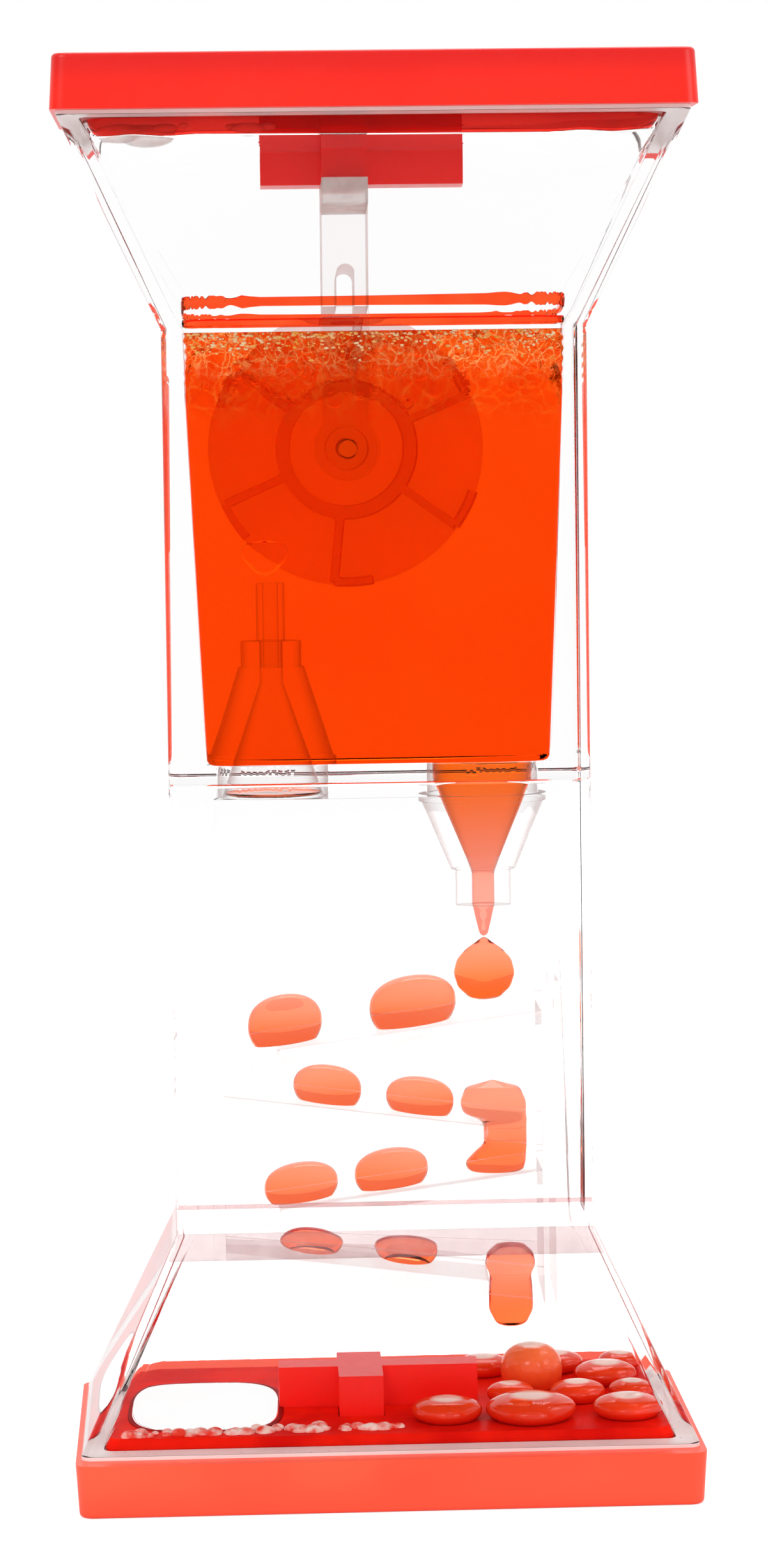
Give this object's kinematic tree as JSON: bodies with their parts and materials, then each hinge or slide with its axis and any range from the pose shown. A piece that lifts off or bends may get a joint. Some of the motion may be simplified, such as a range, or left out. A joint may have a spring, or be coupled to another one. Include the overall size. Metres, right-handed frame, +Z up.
{
  "type": "liquid motion timer",
  "caption": "Desk liquid motion timer: clear flared two-cup body, red caps, orange liquid dripping down ramps, and a paddle wheel that free-spins in its yoke",
  "frame": {"origin": "middle of the flat underside of the bottom cap", "axes": "+X to the right as seen from the front, +Y to the back, +Z up through both cups"},
  "size_m": [0.07, 0.042, 0.16],
  "materials": {
    "clear_plastic": "polished",
    "cap_red": "gloss",
    "cap_coral": "gloss",
    "seal_white": "satin",
    "hanger_frost": "satin",
    "axle_steel": "brushed",
    "liquid_orange": "liquid"
  },
  "bodies": {
    "casing": {"top_cap": "cap_red", "bottom_cap": "cap_coral", "top_seal": "seal_white", "bottom_seal": "seal_white", "upper_shell": "clear_plastic", "lower_shell": "clear_plastic", "return_funnel": "clear_plastic", "return_nozzle": "clear_plastic", "drain_funnel": "clear_plastic", "wheel_hanger": "hanger_frost", "wheel_axle": "axle_steel", "rail_left": "clear_plastic", "rail_right": "clear_plastic", "ramp_1": "clear_plastic", "ramp_2": "clear_plastic", "ramp_3": "clear_plastic", "ramp_4": "clear_plastic", "orange_fill": "liquid_orange", "orange_pool": "liquid_orange", "drain_stream": "liquid_orange", "spill_stream": "liquid_orange", "hanging_drop": "liquid_orange", "ramp_drop_1": "liquid_orange", "ramp_drop_2": "liquid_orange", "ramp_drop_3": "liquid_orange", "ramp_drop_4": "liquid_orange", "ramp_drop_5": "liquid_orange", "ramp_drop_6": "liquid_orange", "ramp_drop_7": "liquid_orange", "ramp_drop_8": "liquid_orange", "base_drop_1": "liquid_orange", "base_drop_2": "liquid_orange", "base_drop_3": "liquid_orange", "base_drop_4": "liquid_orange", "base_drop_5": "liquid_orange", "base_drop_6": "liquid_orange", "base_drop_7": "liquid_orange", "base_drop_8": "liquid_orange", "base_drop_9": "liquid_orange", "base_drop_10": "liquid_orange", "base_drop_11": "liquid_orange"},
    "wheel": {"paddle_wheel": "clear_plastic", "wheel_disc": "clear_plastic"}
  },
  "joints": [
    {"name": "wheel_spin", "type": "hinge", "parent": "casing", "child": "wheel", "pos_m": [-0.003, 0, 0.1171], "axis": [0, 1, 0], "continuous": true}
  ]
}
